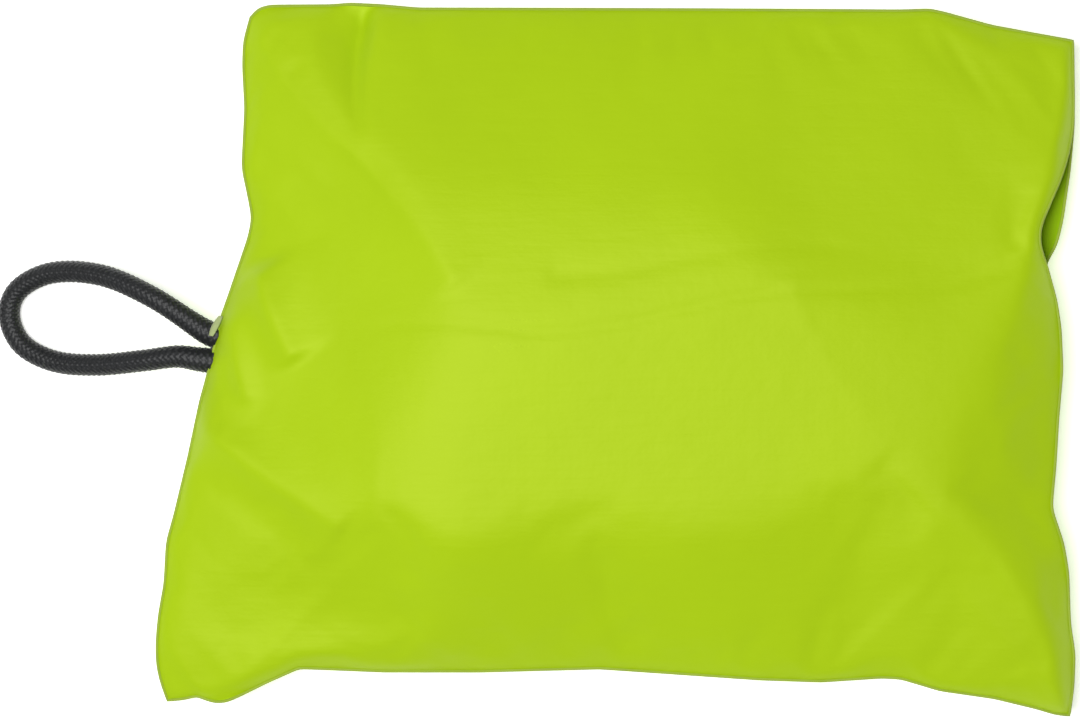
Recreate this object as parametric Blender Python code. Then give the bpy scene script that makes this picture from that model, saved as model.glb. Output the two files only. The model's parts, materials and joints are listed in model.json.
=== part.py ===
"""A small camp pillow: a zipped slip cover over a stuffed inner bag, with a cord hang loop.

Metres, +Z up. The pillow lies on its back panel: +X runs along it, +Y across it and +Z
out of its front. The origin is under the middle of the cover, on the surface it lies on.
"""
import math

import bpy
import numpy as np

# The cover as it lies, stuffed. The slack cover is dragged out of square by its filling.
BODY_LENGTH = 0.352
BODY_WIDTH = 0.273
TOP_LEFT_INSET = 0.033
TOP_RIGHT_DROP = 0.013
BOTTOM_LEFT_RISE = 0.004
CORNER_ROUND = 0.008
# How far the middle of each edge stands outside (+) or inside (-) the line of its corners
RIGHT_BOW = -0.007
TOP_BOW = 0.004
LEFT_BOW = -0.005
BOTTOM_BOW = -0.016
# Heights from the seam to the crown of the front and to the flat of the back
FRONT_RISE = 0.042
BACK_DROP = 0.033
REST_SHARE = 0.58
SEAM_FIN = 0.0025

# Walls and fits
FABRIC = 0.0008
INNER_FABRIC = 0.0006
CLEAR = 0.0003
FILL_RIM = 0.001
FILL_RIM_SHARE = 0.02

# Side zip: a straight closure, set back inside the right-hand edge
ZIP_LENGTH = 0.144
ZIP_RECESS = 0.010
MOUTH_HEIGHT = 0.009
TAPE_THICKNESS = 0.0005
TAPE_OVERHANG = 0.004
TOOTH_PITCH = 0.003
TOOTH_WIDTH = 0.0018
TOOTH_ROOT = 0.0007
COIL_WIDTH = 0.00145
COIL_THICKNESS = 0.0016
STOP_LENGTH = 0.003

# Slider and puller
SLIDER_LENGTH = 0.009
SLIDER_PLATE = 0.001
SLIDER_RIM = 0.0009
NECK_THICKNESS = 0.0009
NECK_LENGTH = 0.0022
BAIL_WIDTH = 0.002
BAIL_HOLE_LENGTH = 0.003
BAIL_HOLE_DEPTH = 0.0022
BAIL_BAR = 0.0008
PULLER_LENGTH = 0.019
PULLER_WIDTH = 0.006
PULLER_THICKNESS = 0.0012
PULLER_WINDOW = 0.0034

# Blank care label behind the back tape
LABEL_LENGTH = 0.025
LABEL_WIDTH = 0.005
LABEL_PLACE = 0.030

# Hang loop: a round braided cord, both ends sewn to a tab in the left-hand seam
CORD_DIAMETER = 0.008
LOOP_PLACE = 0.0055
LOOP_ROOT_SPACING = 0.0105
TAB_LENGTH = 0.026
TAB_REACH = 0.001
# The cord's way from the upper root round to the lower one: across (+X), along (+Y) and
# height above the resting surface, measured from the middle of the roots on the hinge line.
LOOP_ROUTE = (
    (-0.0180, 0.0185, 0.0315),
    (-0.0375, 0.0268, 0.0225),
    (-0.0560, 0.0278, 0.0125),
    (-0.0680, 0.0215, 0.0065),
    (-0.0712, 0.0120, 0.0047),
    (-0.0665, 0.0018, 0.0060),
    (-0.0553, -0.0052, 0.0105),
    (-0.0400, -0.0074, 0.0185),
    (-0.0220, -0.0058, 0.0275),
    (-0.0088, -0.0042, 0.0318),
)
# Distance between the cord's drawn points, in diameters, and how its half-ball ends are drawn
CORD_STEP = 2.0
CORD_END_STEPS = 4
CORD_TIP_ANGLE = math.radians(76)
CURVE_STEPS = 24

# How finely the soft shapes are drawn
EDGE_POINTS = 9
LONG_EDGE_POINTS = 11
CORNER_POINTS = 2
SHELL_STEPS = (0.0, 0.012, 0.035, 0.08, 0.16, 0.30)
FRONT_FLAT_SHARE = 0.40
FRONT_POWER = 3.0
BACK_POWER = 2.0
SIDE_POWER = 0.62

SEAM_Z = BACK_DROP
EDGE_X = BODY_LENGTH / 2 + RIGHT_BOW
ZIP_X = EDGE_X - ZIP_RECESS
NECK_SLOT = NECK_THICKNESS / 2 + CLEAR
COIL_EDGE = NECK_SLOT + COIL_WIDTH
TAPE_START = COIL_EDGE + CLEAR
PLATE_GAP = COIL_THICKNESS / 2 + CLEAR
PLATE_FACE = PLATE_GAP + SLIDER_PLATE
SLIDER_WIDTH = 2 * (COIL_EDGE + CLEAR + SLIDER_RIM)
MOUTH_LENGTH = ZIP_LENGTH + 2 * (STOP_LENGTH + 2 * CLEAR)
INNER_INSET = abs(RIGHT_BOW) + ZIP_RECESS + PLATE_FACE + CLEAR + TAPE_THICKNESS
INNER_SCALE = 1 - INNER_INSET / (BODY_LENGTH / 2)
FIN_RATIO = 1 - SEAM_FIN / (BODY_WIDTH / 2)
FILL_SCALE = INNER_SCALE * (FIN_RATIO - FILL_RIM_SHARE)
PARKED_Y = -(ZIP_LENGTH - SLIDER_LENGTH) / 2 + CLEAR

LIME = ((0.43, 0.64, 0.012, 1.0), 0.45, 0.0)
TICKING = ((0.80, 0.80, 0.77, 1.0), 0.9, 0.0)
FIBRE = ((0.90, 0.89, 0.85, 1.0), 1.0, 0.0)
ZIP_TAPE = ((0.36, 0.55, 0.012, 1.0), 0.8, 0.0)
ZIP_COIL = ((0.30, 0.48, 0.010, 1.0), 0.4, 0.0)
ZIP_METAL = ((0.02, 0.02, 0.022, 1.0), 0.35, 0.8)
LABEL_WHITE = ((0.85, 0.85, 0.85, 1.0), 0.7, 0.0)
CORD_BLACK = ((0.018, 0.019, 0.021, 1.0), 0.7, 0.0)


def clear_scene():
    for item in list(bpy.data.objects):
        bpy.data.objects.remove(item, do_unlink=True)


def give_material(item, name, look):
    colour, roughness, metallic = look
    material = bpy.data.materials.new(name)
    material.use_nodes = True
    shader = material.node_tree.nodes["Principled BSDF"]
    shader.inputs["Base Color"].default_value = colour
    shader.inputs["Roughness"].default_value = roughness
    shader.inputs["Metallic"].default_value = metallic
    material.diffuse_color = colour
    item.data.materials.append(material)


def add_mesh(name, points, faces, location=(0, 0, 0)):
    mesh = bpy.data.meshes.new(name)
    mesh.from_pydata([tuple(p) for p in points], [], faces)
    mesh.update()
    item = bpy.data.objects.new(name, mesh)
    item.location = location
    bpy.context.scene.collection.objects.link(item)
    return item


def add_box(name, low, high, location=(0, 0, 0), turn=0.0):
    """A box from its low corner to its high corner, about a location, turned about Z."""
    points = [(x, y, z) for x in (low[0], high[0]) for y in (low[1], high[1]) for z in (low[2], high[2])]
    faces = [(0, 1, 3, 2), (4, 6, 7, 5), (0, 4, 5, 1), (2, 3, 7, 6), (0, 2, 6, 4), (1, 5, 7, 3)]
    item = add_mesh(name, points, faces, location)
    item.rotation_euler = (0, 0, turn)
    return item


def combine(item, tool, operation):
    """Cut the item with a tool object, or weld the tool to it; the tool stays as a guide."""
    modifier = item.modifiers.new(tool.name, "BOOLEAN")
    modifier.operation = operation
    modifier.solver = "EXACT"
    modifier.object = tool
    tool.hide_render = True
    tool.display_type = "WIRE"


# --- Outline of the cover --------------------------------------------------------------

def corners():
    """Bottom right, top right, top left, bottom left: counter-clockwise from above."""
    half_x = BODY_LENGTH / 2
    half_y = BODY_WIDTH / 2
    return (
        np.array((half_x, -half_y)),
        np.array((half_x, half_y - TOP_RIGHT_DROP)),
        np.array((-half_x + TOP_LEFT_INSET, half_y)),
        np.array((-half_x, -half_y + BOTTOM_LEFT_RISE)),
    )


def edge_point(start, end, bow, share):
    along = end - start
    outward = np.array((along[1], -along[0])) / np.linalg.norm(along)
    return start + along * share + outward * bow * 4 * share * (1 - share)


def cover_outline():
    """Four bowed edges joined by rounded corners."""
    ends = corners()
    bows = (RIGHT_BOW, TOP_BOW, LEFT_BOW, BOTTOM_BOW)
    counts = (EDGE_POINTS, LONG_EDGE_POINTS, EDGE_POINTS, LONG_EDGE_POINTS)
    edges = []
    for index, (bow, count) in enumerate(zip(bows, counts)):
        start = ends[index]
        end = ends[(index + 1) % 4]
        margin = CORNER_ROUND / np.linalg.norm(end - start)
        edges.append([edge_point(start, end, bow, t) for t in np.linspace(margin, 1 - margin, count)])
    points = []
    for index, edge in enumerate(edges):
        points += edge
        corner = ends[(index + 1) % 4]
        following = edges[(index + 1) % 4][0]
        for step in range(1, CORNER_POINTS + 1):
            t = step / (CORNER_POINTS + 1)
            points.append((1 - t) ** 2 * edge[-1] + 2 * t * (1 - t) * corner + t * t * following)
    return np.array(points)


def outline_share(x, y, outline):
    """How far out a point lies, as a share of the way from the middle to the outline."""
    point = np.array((x, y))
    for start, end in zip(outline, np.roll(outline, -1, axis=0)):
        ahead = start[0] * point[1] - start[1] * point[0]
        behind = point[0] * end[1] - point[1] * end[0]
        if ahead >= 0 and behind >= 0:
            along = end - start
            return (point[0] * along[1] - point[1] * along[0]) / (start[0] * along[1] - start[1] * along[0])
    return 1.0


# --- Nested soft layers ----------------------------------------------------------------

def front_rings():
    """Ring shares from the edge inward, with each ring's share of the full rise."""
    shares = [FIN_RATIO * (1 - step) for step in SHELL_STEPS] + [FRONT_FLAT_SHARE]
    rises = [max(0.0, 1 - (share / FIN_RATIO) ** FRONT_POWER) ** SIDE_POWER for share in shares]
    return [(1.0, 0.0)] + [(share, rise / rises[-1]) for share, rise in zip(shares, rises)]


def back_rings():
    """As front_rings, but level inside the part that rests."""
    rest = REST_SHARE * FIN_RATIO
    shares = [FIN_RATIO * (1 - step) for step in SHELL_STEPS] + [rest]
    rises = [
        max(0.0, 1 - ((share - rest) / (FIN_RATIO - rest)) ** BACK_POWER) ** SIDE_POWER for share in shares
    ]
    return [(1.0, 0.0)] + list(zip(shares, rises))


def ring_rise(share, rings):
    table = sorted(rings)
    return float(np.interp(share, [ring[0] for ring in table], [ring[1] for ring in table]))


def surface_points(outline, rings, rise, start, side):
    return [
        (x * share, y * share, SEAM_Z + side * (start + rise * lift))
        for share, lift in rings
        for x, y in outline
    ]


def ring_faces(count, rings, first, flip):
    """Quads between rings and a level face inside the last one."""
    faces = []
    for ring in range(rings - 1):
        for index in range(count):
            a = first + ring * count + index
            b = first + ring * count + (index + 1) % count
            faces.append((a, b, b + count, a + count))
    faces.append(tuple(first + (rings - 1) * count + index for index in range(count)))
    return [tuple(reversed(face)) for face in faces] if flip else faces


def rim_faces(count, upper, lower):
    return [
        (lower + index, lower + (index + 1) % count, upper + (index + 1) % count, upper + index)
        for index in range(count)
    ]


def panel(name, outline, rings, rise, wall, side, look):
    """A bowed panel of one fabric layer, open towards the seam plane."""
    count = len(outline)
    outside = surface_points(outline, rings, rise, CLEAR / 2 + wall, side)
    inside = surface_points(outline, rings, rise, CLEAR / 2, side)
    above = side > 0
    faces = ring_faces(count, len(rings), 0, not above)
    faces += ring_faces(count, len(rings), len(outside), above)
    rim = rim_faces(count, 0, len(outside)) if above else rim_faces(count, len(outside), 0)
    item = add_mesh(name, outside + inside, faces + rim)
    give_material(item, name, look)
    return item


def cover_rises():
    return FRONT_RISE - FABRIC - CLEAR / 2, BACK_DROP - FABRIC - CLEAR / 2


def build_cover(outline):
    front_rise, back_rise = cover_rises()
    front = panel("front_panel", outline, front_rings(), front_rise, FABRIC, 1, LIME)
    back = panel("back_panel", outline, back_rings(), back_rise, FABRIC, -1, LIME)
    mouth = add_box(
        "mouth_cutter",
        (-PLATE_FACE, -MOUTH_LENGTH / 2, -MOUTH_HEIGHT / 2),
        (2 * ZIP_RECESS - RIGHT_BOW, MOUTH_LENGTH / 2, MOUTH_HEIGHT / 2),
        (ZIP_X, 0, SEAM_Z),
    )
    tab_height = CLEAR / 2 + FABRIC + CLEAR
    root, _, turn = loop_root(outline)
    notch = add_box(
        "tab_notch_cutter",
        (-SEAM_FIN, -TAB_LENGTH / 2 - CLEAR, -tab_height),
        (SEAM_FIN, TAB_LENGTH / 2 + CLEAR, tab_height),
        (root[0], root[1], SEAM_Z),
        turn,
    )
    for item in (front, back):
        combine(item, mouth, "DIFFERENCE")
        combine(item, notch, "DIFFERENCE")


def build_inner_bag(outline):
    front_rise, back_rise = (rise - INNER_FABRIC - CLEAR for rise in cover_rises())
    shape = outline * INNER_SCALE
    panel("inner_bag_front", shape, front_rings(), front_rise, INNER_FABRIC, 1, TICKING)
    panel("inner_bag_back", shape, back_rings(), back_rise, INNER_FABRIC, -1, TICKING)


def build_fill(outline):
    """The stuffing: one soft block that fills the inner bag."""
    front_rise, back_rise = (
        rise - INNER_FABRIC - 2 * CLEAR + CLEAR / 2 - FILL_RIM for rise in cover_rises()
    )
    shape = outline * FILL_SCALE
    count = len(shape)
    above = front_rings()[1:]
    below = back_rings()[1:]
    above[0] = (1.0, 0.0)
    below[0] = (1.0, 0.0)
    top = surface_points(shape, above, front_rise, FILL_RIM, 1)
    bottom = surface_points(shape, below, back_rise, FILL_RIM, -1)
    faces = ring_faces(count, len(above), 0, False)
    faces += ring_faces(count, len(below), len(top), True)
    faces += rim_faces(count, 0, len(top))
    item = add_mesh("fill_block", top + bottom, faces)
    give_material(item, "fill_block", FIBRE)


# --- Side zip --------------------------------------------------------------------------

def tape_reach(outline, rings, rise):
    """How far the tape reaches from the seam plane before it meets the panel's inside."""
    half_length = ZIP_LENGTH / 2 + STOP_LENGTH + TAPE_OVERHANG
    face_x = ZIP_X + TAPE_THICKNESS / 2
    heights = [
        CLEAR / 2 + rise * ring_rise(outline_share(face_x, y, outline), rings)
        for y in np.linspace(-half_length, half_length, 2 * EDGE_POINTS + 1)
    ]
    return min(heights) - CLEAR


def build_tapes(outline):
    front_rise, back_rise = cover_rises()
    half_length = ZIP_LENGTH / 2 + STOP_LENGTH + TAPE_OVERHANG
    half_thick = TAPE_THICKNESS / 2
    for name, side, rings, rise in (
        ("zip_tape_front", 1, front_rings(), front_rise),
        ("zip_tape_back", -1, back_rings(), back_rise),
    ):
        ends = sorted((side * TAPE_START, side * tape_reach(outline, rings, rise)))
        low = (-half_thick, -half_length, ends[0])
        high = (half_thick, half_length, ends[1])
        item = add_box(name, low, high, (ZIP_X, 0, SEAM_Z))
        give_material(item, name, ZIP_TAPE)


def comb_outline():
    """One row of teeth seen across the tape: a spine as long as the zip, with square teeth
    towards the middle, as many as the zip has room for."""
    teeth = int(ZIP_LENGTH / TOOTH_PITCH + CLEAR)
    end = ZIP_LENGTH / 2
    spine = COIL_EDGE - TOOTH_ROOT
    points = [(-end, COIL_EDGE), (-end, spine)]
    for index in range(teeth):
        middle = (index + 0.5 - teeth / 2) * TOOTH_PITCH
        points += [
            (middle - TOOTH_WIDTH / 2, spine),
            (middle - TOOTH_WIDTH / 2, NECK_SLOT),
            (middle + TOOTH_WIDTH / 2, NECK_SLOT),
            (middle + TOOTH_WIDTH / 2, spine),
        ]
    points += [(end, spine), (end, COIL_EDGE)]
    return points


def prism(points, low_x, high_x):
    """Points and faces of a (y, z) outline, counter-clockwise from +X, extruded along X."""
    count = len(points)
    solid = [(low_x, y, z) for y, z in points] + [(high_x, y, z) for y, z in points]
    faces = [tuple(reversed(range(count))), tuple(range(count, 2 * count))]
    for index in range(count):
        following = (index + 1) % count
        faces.append((index, following, following + count, index + count))
    return solid, faces


def build_coils():
    half_thick = COIL_THICKNESS / 2
    outline = comb_outline()
    mirrored = [(y, -z) for y, z in reversed(outline)]
    for name, points in (("zip_coil_front", outline), ("zip_coil_back", mirrored)):
        solid, faces = prism(points, -half_thick, half_thick)
        item = add_mesh(name, solid, faces, (ZIP_X, 0, SEAM_Z))
        give_material(item, name, ZIP_COIL)


def build_stops():
    half_thick = COIL_THICKNESS / 2
    for name, side in (("zip_bottom_stop", -1), ("zip_top_stop", 1)):
        ends = sorted((side * (ZIP_LENGTH / 2 + CLEAR), side * (ZIP_LENGTH / 2 + CLEAR + STOP_LENGTH)))
        low = (-half_thick, ends[0], -COIL_EDGE)
        high = (half_thick, ends[1], COIL_EDGE)
        item = add_box(name, low, high, (ZIP_X, 0, SEAM_Z))
        give_material(item, name, ZIP_METAL)


def build_label():
    front = -TAPE_THICKNESS / 2 - CLEAR
    top = -SLIDER_WIDTH / 2 - CLEAR
    item = add_box(
        "care_label",
        (front - TAPE_THICKNESS, -LABEL_LENGTH / 2, top - LABEL_WIDTH),
        (front, LABEL_LENGTH / 2, top),
        (ZIP_X, LABEL_PLACE, SEAM_Z),
    )
    give_material(item, "care_label", LABEL_WHITE)


def slider_boxes():
    """The slider's boxes about the zip's middle plane: plates, rims, neck and bail."""
    half_length = SLIDER_LENGTH / 2
    half_width = SLIDER_WIDTH / 2
    rim_low = TAPE_THICKNESS / 2 + CLEAR
    bail_end = BAIL_HOLE_LENGTH / 2 + BAIL_BAR
    bail_top = PLATE_FACE + BAIL_HOLE_DEPTH
    bite = SLIDER_PLATE / 2
    boxes = [((-PLATE_GAP - bite, -half_length, -NECK_THICKNESS / 2),
              (PLATE_GAP + bite, -half_length + NECK_LENGTH, NECK_THICKNESS / 2))]
    for face in (-1, 1):
        span = sorted((face * PLATE_GAP, face * PLATE_FACE))
        boxes.append(((span[0], -half_length, -half_width), (span[1], half_length, half_width)))
        span = sorted((face * rim_low, face * (PLATE_GAP + bite)))
        for side in (-1, 1):
            width = sorted((side * (half_width - SLIDER_RIM), side * half_width))
            boxes.append(((span[0], -half_length, width[0]), (span[1], half_length, width[1])))
    for side in (-1, 1):
        ends = sorted((side * BAIL_HOLE_LENGTH / 2, side * bail_end))
        boxes.append(((PLATE_FACE - bite, ends[0], -BAIL_WIDTH / 2),
                      (bail_top + BAIL_BAR / 2, ends[1], BAIL_WIDTH / 2)))
    boxes.append(((bail_top, -bail_end, -BAIL_WIDTH / 2), (bail_top + BAIL_BAR, bail_end, BAIL_WIDTH / 2)))
    return boxes


def build_slider():
    place = (ZIP_X, PARKED_Y, SEAM_Z)
    boxes = slider_boxes()
    slider = add_box("zip_slider", *boxes[1], place)
    for index, box in enumerate(boxes[:1] + boxes[2:]):
        combine(slider, add_box(f"slider_guide_{index}", *box, place), "UNION")
    give_material(slider, "zip_slider", ZIP_METAL)


def build_puller():
    """A flat pull hooked through the bail; its origin is on the hinge line in the bail's hole."""
    half_thick = PULLER_THICKNESS / 2
    half_width = PULLER_WIDTH / 2
    chamfer = PULLER_WIDTH / 4
    outline = [
        (-half_thick, half_width),
        (-half_thick, -half_width),
        (PULLER_LENGTH - chamfer, -half_width),
        (PULLER_LENGTH, -half_width + chamfer),
        (PULLER_LENGTH, half_width - chamfer),
        (PULLER_LENGTH - chamfer, half_width),
    ]
    solid, faces = prism(outline, -half_thick, half_thick)
    place = (ZIP_X + PLATE_FACE + BAIL_HOLE_DEPTH / 2, PARKED_Y, SEAM_Z)
    puller = add_mesh("zip_puller", solid, faces, place)
    side_bar = (PULLER_WIDTH - BAIL_WIDTH) / 4
    window = add_box(
        "puller_window_cutter",
        (-PULLER_THICKNESS, half_thick, -half_width + side_bar),
        (PULLER_THICKNESS, half_thick + PULLER_WINDOW, half_width - side_bar),
        place,
    )
    combine(puller, window, "DIFFERENCE")
    give_material(puller, "zip_puller", ZIP_METAL)


# --- Hang loop -------------------------------------------------------------------------

def loop_root(outline):
    """The place on the left-hand seam where the loop is sewn in, the seam's outward
    direction there, and the turn about Z that brings -X onto that direction."""
    _, _, top_left, bottom_left = corners()
    share = (top_left[1] - LOOP_PLACE) / (top_left[1] - bottom_left[1])
    place = edge_point(top_left, bottom_left, LEFT_BOW, share)
    nearby = TAB_LENGTH / (BODY_WIDTH * 2)
    above = edge_point(top_left, bottom_left, LEFT_BOW, share - nearby)
    below = edge_point(top_left, bottom_left, LEFT_BOW, share + nearby)
    place = place * (outline_correction(place, outline))
    along = (above - below) / np.linalg.norm(above - below)
    outward = np.array((-along[1], along[0]))
    turn = math.atan2(outward[1], outward[0]) - math.pi
    return place, outward, turn


def outline_correction(place, outline):
    """Brings a point of the smooth edge onto the drawn outline."""
    return 1 / outline_share(place[0], place[1], outline)


def build_tab(outline):
    """The reinforced stub of seam that both cord ends are sewn to."""
    root, _, turn = loop_root(outline)
    half_height = CLEAR / 2 + FABRIC
    item = add_box(
        "loop_tab",
        (-TAB_REACH, -TAB_LENGTH / 2, -half_height),
        (SEAM_FIN - CLEAR, TAB_LENGTH / 2, half_height),
        (root[0], root[1], SEAM_Z),
        turn,
    )
    give_material(item, "loop_tab", LIME)


def smooth_route(knots, spacing):
    """Points on a smooth curve (Catmull-Rom) through the knots, near one spacing apart."""
    knots = [2 * knots[0] - knots[1]] + list(knots) + [2 * knots[-1] - knots[-2]]
    fine = []
    for a, b, c, d in zip(knots, knots[1:], knots[2:], knots[3:]):
        for t in np.linspace(0, 1, CURVE_STEPS, endpoint=False):
            fine.append(0.5 * (2 * b + (c - a) * t + (2 * a - 5 * b + 4 * c - d) * t**2
                               + (3 * b - a - 3 * c + d) * t**3))
    fine.append(knots[-2])
    fine = np.array(fine)
    travelled = np.concatenate(([0], np.cumsum(np.linalg.norm(np.diff(fine, axis=0), axis=1))))
    count = max(2, round(travelled[-1] / spacing) + 1)
    wanted = np.linspace(0, travelled[-1], count)
    return np.array([[np.interp(w, travelled, fine[:, axis]) for axis in range(3)] for w in wanted])


def round_end(centre, towards):
    """Points and radius shares that close a cord's end as a half ball about its centre."""
    radius = CORD_DIAMETER / 2
    away = (centre - towards) / np.linalg.norm(centre - towards)
    angles = np.linspace(CORD_TIP_ANGLE, 0, CORD_END_STEPS, endpoint=False)
    return [(centre + away * radius * math.sin(angle), math.cos(angle)) for angle in angles]


def build_loop(outline):
    """A round cord whose half-ball ends sit on the hinge line, beside the tab."""
    root, outward, turn = loop_root(outline)
    pivot = root + outward * (TAB_REACH + CLEAR + CORD_DIAMETER / 2)
    along = np.array((math.cos(turn + math.pi / 2), math.sin(turn + math.pi / 2)))
    spread = along * LOOP_ROOT_SPACING / 2
    upper = np.array((spread[0], spread[1], 0.0))
    lower = -upper
    knots = [upper]
    knots += [np.array((x, y, z - SEAM_Z)) for x, y, z in LOOP_ROUTE]
    knots += [lower]
    route = smooth_route(knots, CORD_STEP * CORD_DIAMETER)
    points = round_end(route[0], route[1])
    points += [(point, 1.0) for point in route]
    points += list(reversed(round_end(route[-1], route[-2])))
    curve = bpy.data.curves.new("hang_loop", "CURVE")
    curve.dimensions = "3D"
    curve.bevel_depth = CORD_DIAMETER / 2
    curve.bevel_resolution = 2
    curve.use_fill_caps = True
    spline = curve.splines.new("POLY")
    spline.points.add(len(points) - 1)
    for target, (point, share) in zip(spline.points, points):
        target.co = (*point, 1.0)
        target.radius = share
    item = bpy.data.objects.new("hang_loop", curve)
    item.location = (pivot[0], pivot[1], SEAM_Z)
    bpy.context.scene.collection.objects.link(item)
    give_material(item, "hang_loop", CORD_BLACK)


def main():
    clear_scene()
    outline = cover_outline()
    build_cover(outline)
    build_inner_bag(outline)
    build_fill(outline)
    build_tapes(outline)
    build_coils()
    build_stops()
    build_label()
    build_slider()
    build_puller()
    build_tab(outline)
    build_loop(outline)


main()
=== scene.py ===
import json
import math

import bpy
import numpy as np
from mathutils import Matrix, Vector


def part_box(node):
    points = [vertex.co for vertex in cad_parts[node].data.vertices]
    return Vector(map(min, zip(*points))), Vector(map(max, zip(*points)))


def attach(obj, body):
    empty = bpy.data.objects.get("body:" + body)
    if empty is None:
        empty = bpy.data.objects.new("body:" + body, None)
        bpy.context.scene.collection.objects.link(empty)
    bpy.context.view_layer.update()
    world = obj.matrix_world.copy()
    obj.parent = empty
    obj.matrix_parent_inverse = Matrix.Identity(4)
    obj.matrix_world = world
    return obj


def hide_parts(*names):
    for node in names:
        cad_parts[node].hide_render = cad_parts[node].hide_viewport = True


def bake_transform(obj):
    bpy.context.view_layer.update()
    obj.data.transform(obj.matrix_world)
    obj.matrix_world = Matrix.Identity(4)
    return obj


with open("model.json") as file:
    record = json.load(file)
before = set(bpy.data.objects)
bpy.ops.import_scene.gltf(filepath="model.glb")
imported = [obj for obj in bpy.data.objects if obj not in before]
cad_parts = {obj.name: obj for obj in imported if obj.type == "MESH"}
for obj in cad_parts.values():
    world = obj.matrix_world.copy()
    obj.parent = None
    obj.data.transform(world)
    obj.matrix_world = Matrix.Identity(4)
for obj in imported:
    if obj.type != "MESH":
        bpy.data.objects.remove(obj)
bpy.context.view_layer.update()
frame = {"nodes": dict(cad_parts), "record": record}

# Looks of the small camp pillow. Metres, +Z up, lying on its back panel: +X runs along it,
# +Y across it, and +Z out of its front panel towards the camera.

MM = 0.001

# --- Places taken from the frame -------------------------------------------------------

SEAM_Z = float(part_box("front_panel")[0][2])
ZIP_LOW, ZIP_HIGH = (np.array(corner, float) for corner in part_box("zip_tape_front"))
ZIP_X = float(ZIP_LOW[0] + ZIP_HIGH[0]) / 2
MOUTH_END = float(ZIP_HIGH[1]) - 2 * MM
LOOP_HINGE = next(j for j in frame["record"]["behaviour"]["joints"] if j["name"] == "loop_hinge")
LOOP_PIVOT = np.array(LOOP_HINGE["pos_m"], float)
LOOP_ALONG = np.array(LOOP_HINGE["axis"], float) / np.linalg.norm(LOOP_HINGE["axis"])
LOOP_INWARD = np.array((LOOP_ALONG[1], -LOOP_ALONG[0], 0.0))

# --- Outline of the cover, in millimetres from the middle ------------------------------
# Each edge runs from corner to corner: left to right, or bottom to top.

HALF_LENGTH, HALF_WIDTH = 172.0, 130.0
GRID_COLUMNS, GRID_ROWS = 221, 171
# For the bottom, top, left and right edges: how far bends are eased, and how many points
# stand for the edge when distances from it are measured
EDGE_ROUNDINGS = (1.2, 1.4, 2.2, 2.2)
EDGE_SAMPLES = (700, 700, 600, 600)
BROAD_SAMPLES = 500

TOP_EDGE = (
    (-139.8, 130.5), (-137.0, 133.7), (-132.8, 134.9), (-109.0, 135.0), (-101.9, 135.6), (-90.0, 135.0),
    (-76.0, 133.7), (-30.0, 133.6), (30.0, 133.4), (107.6, 133.0), (119.4, 133.4), (125.5, 132.0),
    (142.7, 127.3), (160.0, 124.2), (173.9, 121.8),
)
BOTTOM_EDGE = (
    (-171.7, -130.0), (-165.5, -129.3), (-160.2, -128.0), (-157.5, -129.3), (-153.0, -130.5),
    (-149.0, -130.1), (-144.2, -128.0), (-133.5, -122.7), (-121.3, -117.2), (-89.0, -118.5),
    (-52.4, -118.5), (-6.7, -117.3), (54.3, -121.5), (77.5, -122.3), (100.8, -120.8), (108.0, -121.2),
    (122.9, -125.7), (143.8, -128.8), (160.0, -132.8), (167.1, -135.0), (172.8, -135.8),
)
LEFT_EDGE = (
    (-171.7, -130.0), (-174.4, -122.0), (-175.6, -115.5), (-175.6, -107.1), (-174.6, -97.0),
    (-172.4, -85.3), (-171.5, -69.3), (-168.6, -59.1), (-163.3, -37.0), (-158.7, -15.2),
    (-156.0, -5.7), (-150.9, 16.0), (-148.2, 23.6), (-140.2, 47.0), (-138.8, 54.1), (-140.5, 63.0),
    (-142.7, 73.2), (-141.6, 96.0), (-142.5, 112.0), (-142.2, 121.5), (-139.8, 130.5),
)
RIGHT_EDGE = (
    (172.8, -135.8), (174.0, -125.0), (174.3, -112.4), (172.4, -100.6), (171.6, -81.2), (169.3, -69.3),
    (164.8, -56.4), (166.4, -40.0), (167.4, -22.9), (169.0, -3.8), (168.3, 12.0), (166.7, 22.9),
    (162.9, 36.2), (167.4, 43.8), (169.7, 53.3), (172.4, 71.6), (173.9, 90.7), (173.9, 121.8),
)
# The front panel parts from the back one here and leaves the dark gap of the side opening
FRONT_RIGHT_EDGE = (
    (172.8, -135.8), (174.0, -125.0), (174.3, -112.4), (172.4, -100.6), (171.6, -81.2), (169.3, -69.3),
    (164.8, -56.4), (166.4, -40.0), (167.4, -22.9), (169.0, -3.8), (168.3, 12.0), (166.7, 22.9),
    (162.7, 36.2), (160.6, 41.0), (159.6, 46.0), (160.4, 51.5), (164.2, 60.0), (168.3, 69.0),
    (171.6, 78.5), (173.5, 88.0), (173.9, 97.0), (173.9, 121.8),
)

# --- Faces of the stuffed front, in millimetres ----------------------------------------
# Each side face rises from its own edge. Pairs give a place along that edge and the rise
# per millimetre there.

TOP_SLOPES = ((-140, 0.36), (-60, 0.39), (30, 0.38), (80, 0.27), (110, 0.21), (170, 0.16))
LEFT_SLOPES = (
    (-130, 0.08), (-100, 0.09), (-76, 0.26), (-53, 0.40), (0, 0.41), (60, 0.41), (100, 0.39),
    (130, 0.36),
)
BOTTOM_SLOPES = (
    (-175, 0.55), (-120, 0.80), (-71, 0.66), (-20, 0.54), (31, 0.52), (60, 0.45), (89, 0.37),
    (127, 0.32), (175, 0.29),
)
RIGHT_REACHES = ((-130, 30), (-60, 33), (-20, 24), (8, 19), (23, 15), (38, 12), (60, 17), (120, 16))
RIGHT_RISE, RIGHT_TILT = 20.0, 0.11
SLOPE_EASE, EASE_REACH, EASE_SPAN = 9.0, 30, 200.0
BROAD_ROUNDING = 14.0
SHELF_START, SHELF_HEIGHT, SHELF_SLOPE = -90.0, 29.5, 0.16
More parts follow.
